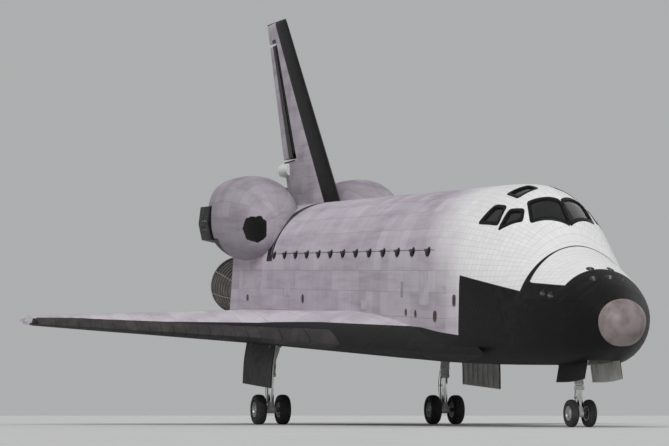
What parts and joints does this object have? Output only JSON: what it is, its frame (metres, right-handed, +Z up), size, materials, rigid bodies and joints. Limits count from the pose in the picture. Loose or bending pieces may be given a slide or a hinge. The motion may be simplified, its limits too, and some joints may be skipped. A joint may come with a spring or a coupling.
{
  "type": "space shuttle orbiter",
  "caption": "Winged space shuttle orbiter parked on its landing gear, with opening payload bay doors and crew hatch, moving control surfaces and turning wheels",
  "frame": {"origin": "on the floor, under the middle of the orbiter's bounding box", "axes": "+X forward to the nose, +Y to port, +Z up; the body is pitched 3.5 degrees nose down, as it parks"},
  "size_m": [36.4982, 23.7916, 17.3279],
  "materials": {
    "carbon": "grey carbon composite with a slight sheen",
    "white_tile": "smooth white tiles",
    "white_skin": "matt off-white quilted blankets over an aluminium airframe",
    "composite_skin": "matt off-white blankets over composite panels",
    "black_tile": "black tiles",
    "black_skin": "black tiles over an aluminium structure",
    "window_glass": "clear polished panes",
    "cabin_interior": "grey panels and seats",
    "radiator_silver": "silvery radiator film",
    "engine_metal": "heat-stained nickel alloy",
    "attach_metal": "bare metal fittings",
    "gear_metal": "light grey gloss paint",
    "wheel_metal": "bare machined metal",
    "tyre_rubber": "matt black rubber"
  },
  "bodies": {
    "airframe": {"nose_cap": "carbon", "forward_thruster_module": "white_tile", "forward_fuselage": "white_skin", "forward_attach_fitting": "attach_metal", "windshield_glass": "window_glass", "overhead_window_left": "window_glass", "overhead_window_right": "window_glass", "flight_deck": "cabin_interior", "mid_fuselage": "white_skin", "aft_fuselage": "white_skin", "main_engine_top": "engine_metal", "main_engine_left": "engine_metal", "main_engine_right": "engine_metal", "oms_pod_left": "composite_skin", "oms_pod_right": "composite_skin", "oms_nozzle_left": "engine_metal", "oms_nozzle_right": "engine_metal", "aft_attach_fitting_left": "attach_metal", "aft_attach_fitting_right": "attach_metal", "vertical_fin": "white_skin", "drag_chute_housing": "white_tile", "wing_left": "white_skin", "wing_right": "white_skin", "wing_leading_edge_left": "carbon", "wing_leading_edge_right": "carbon", "main_gear_strut_left": "gear_metal", "main_gear_strut_right": "gear_metal", "main_gear_brace_left": "gear_metal", "main_gear_brace_right": "gear_metal", "main_gear_door_left": "black_tile", "main_gear_door_right": "black_tile", "nose_gear_strut": "gear_metal", "nose_gear_brace": "gear_metal", "nose_gear_door_left": "black_tile", "nose_gear_door_right": "black_tile"},
    "hatch": {"side_hatch": "white_tile"},
    "bay_door_left": {"payload_bay_door_left": "composite_skin", "radiator_left": "radiator_silver"},
    "bay_door_right": {"payload_bay_door_right": "composite_skin", "radiator_right": "radiator_silver"},
    "flap": {"body_flap": "black_skin"},
    "elevon_in_left": {"elevon_inboard_left": "white_skin"},
    "elevon_in_right": {"elevon_inboard_right": "white_skin"},
    "elevon_out_left": {"elevon_outboard_left": "white_skin"},
    "elevon_out_right": {"elevon_outboard_right": "white_skin"},
    "rudder": {"rudder_shaft": "black_tile"},
    "speedbrake_left": {"speedbrake_panel_left": "white_skin"},
    "speedbrake_right": {"speedbrake_panel_right": "white_skin"},
    "main_wheel_pair_left": {"main_wheels_left": "wheel_metal", "main_tyre_left_outer": "tyre_rubber", "main_tyre_left_inner": "tyre_rubber"},
    "main_wheel_pair_right": {"main_wheels_right": "wheel_metal", "main_tyre_right_outer": "tyre_rubber", "main_tyre_right_inner": "tyre_rubber"},
    "nose_steering_piston": {"nose_gear_piston": "gear_metal"},
    "nose_wheel_pair": {"nose_wheels": "wheel_metal", "nose_tyre_left": "tyre_rubber", "nose_tyre_right": "tyre_rubber"}
  },
  "joints": [
    {"name": "payload_door_left", "type": "hinge", "parent": "airframe", "child": "bay_door_left", "pos_m": [0.41534, 2.6289, 6.03995], "axis": [-0.9981, 0, 0.0611], "range_deg": [0, 175.5]},
    {"name": "payload_door_right", "type": "hinge", "parent": "airframe", "child": "bay_door_right", "pos_m": [0.41534, -2.6289, 6.03995], "axis": [0.9981, 0, -0.0611], "range_deg": [0, 175.5]},
    {"name": "crew_hatch", "type": "hinge", "parent": "airframe", "child": "hatch", "pos_m": [11.8015, 2.47396, 3.10162], "axis": [-0.9885, 0.1389, 0.0605], "range_deg": [0, 90]},
    {"name": "elevon_inboard_left_hinge", "type": "hinge", "parent": "airframe", "child": "elevon_in_left", "pos_m": [-10.98608, 5.334, 3.73589], "axis": [-0.0023, -0.9993, -0.0378], "range_deg": [-33, 18]},
    {"name": "elevon_inboard_right_hinge", "type": "hinge", "parent": "airframe", "child": "elevon_in_right", "pos_m": [-10.98608, -5.334, 3.73589], "axis": [0.0023, -0.9993, 0.0378], "range_deg": [-33, 18]},
    {"name": "elevon_outboard_left_hinge", "type": "hinge", "parent": "airframe", "child": "elevon_out_left", "pos_m": [-10.97556, 9.8806, 3.90787], "axis": [-0.0023, -0.9993, -0.0378], "range_deg": [-33, 18]},
    {"name": "elevon_outboard_right_hinge", "type": "hinge", "parent": "airframe", "child": "elevon_out_right", "pos_m": [-10.97556, -9.8806, 3.90787], "axis": [0.0023, -0.9993, 0.0378], "range_deg": [-33, 18]},
    {"name": "body_flap_hinge", "type": "hinge", "parent": "airframe", "child": "flap", "pos_m": [-14.67238, 0, 3.79454], "axis": [0, -1, 0], "range_deg": [-11.7, 22.55]},
    {"name": "rudder_hinge", "type": "hinge", "parent": "airframe", "child": "rudder", "pos_m": [-14.91703, 0, 13.59406], "axis": [-0.52, 0, 0.8542], "range_deg": [-27.1, 27.1]},
    {"name": "speedbrake_left_hinge", "type": "hinge", "parent": "rudder", "child": "speedbrake_left", "pos_m": [-14.91703, 0, 13.59406], "axis": [0.52, 0, -0.8542], "range_deg": [0, 49.3]},
    {"name": "speedbrake_right_hinge", "type": "hinge", "parent": "rudder", "child": "speedbrake_right", "pos_m": [-14.91703, 0, 13.59406], "axis": [-0.52, 0, 0.8542], "range_deg": [0, 49.3]},
    {"name": "main_wheels_left_spin", "type": "hinge", "parent": "airframe", "child": "main_wheel_pair_left", "pos_m": [-5.68367, 3.4544, 0.56006], "axis": [0, 1, 0], "continuous": true},
    {"name": "main_wheels_right_spin", "type": "hinge", "parent": "airframe", "child": "main_wheel_pair_right", "pos_m": [-5.68367, -3.4544, 0.56006], "axis": [0, 1, 0], "continuous": true},
    {"name": "nose_steering", "type": "hinge", "parent": "airframe", "child": "nose_steering_piston", "pos_m": [14.84282, 0, 0.40292], "axis": [-0.0546, 0, 0.9985], "range_deg": [-10, 10]},
    {"name": "nose_wheels_spin", "type": "hinge", "parent": "nose_steering_piston", "child": "nose_wheel_pair", "pos_m": [14.84282, 0, 0.40292], "axis": [0, 1, 0], "continuous": true}
  ],
  "couplings": [
    {"joint": "speedbrake_right_hinge", "follows": "speedbrake_left_hinge", "ratio": 1}
  ]
}
